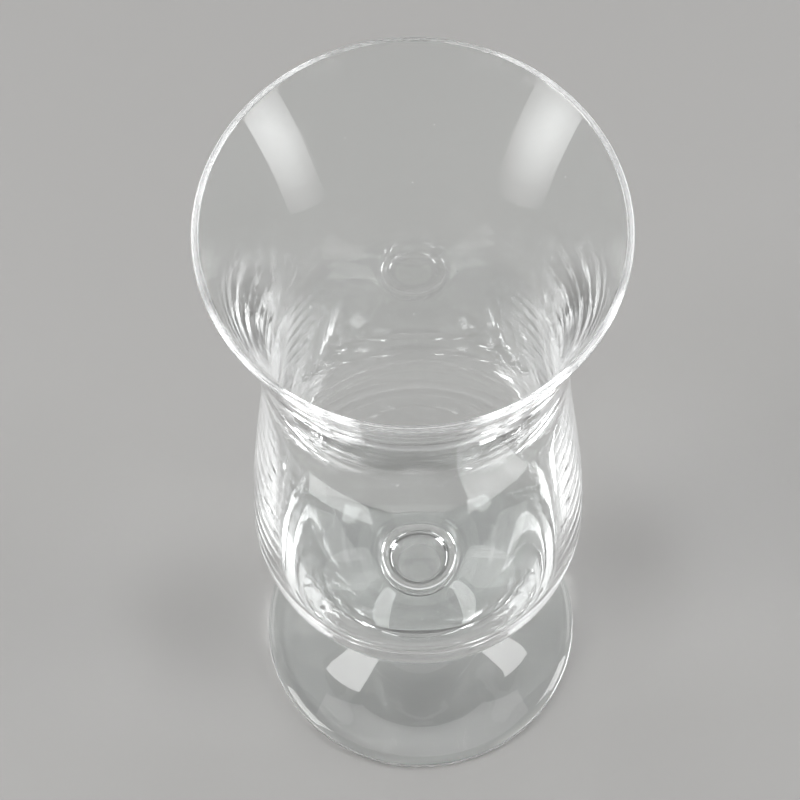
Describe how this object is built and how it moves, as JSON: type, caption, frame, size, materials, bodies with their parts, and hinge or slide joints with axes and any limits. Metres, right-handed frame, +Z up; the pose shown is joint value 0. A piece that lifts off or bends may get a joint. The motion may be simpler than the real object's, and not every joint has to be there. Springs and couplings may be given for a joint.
{
  "type": "cocktail glass",
  "caption": "Clear hurricane cocktail glass: flared mouth, drawn-in waist and round bulb on a short stem and a round coned foot.",
  "frame": {"origin": "centre of the resting plane under the foot", "axes": "+Z up along the glass's axis towards the mouth, -Y towards the picture's viewer, +X to the viewer's right"},
  "size_m": [0.084, 0.084, 0.205],
  "materials": {
    "bowl_glass": "clear polished blown glass, fire-polished lip",
    "stem_glass": "clear polished solid glass",
    "foot_glass": "clear polished pressed glass"
  },
  "bodies": {
    "root": {"bowl": "bowl_glass", "stem": "stem_glass", "foot": "foot_glass"}
  },
  "joints": []
}
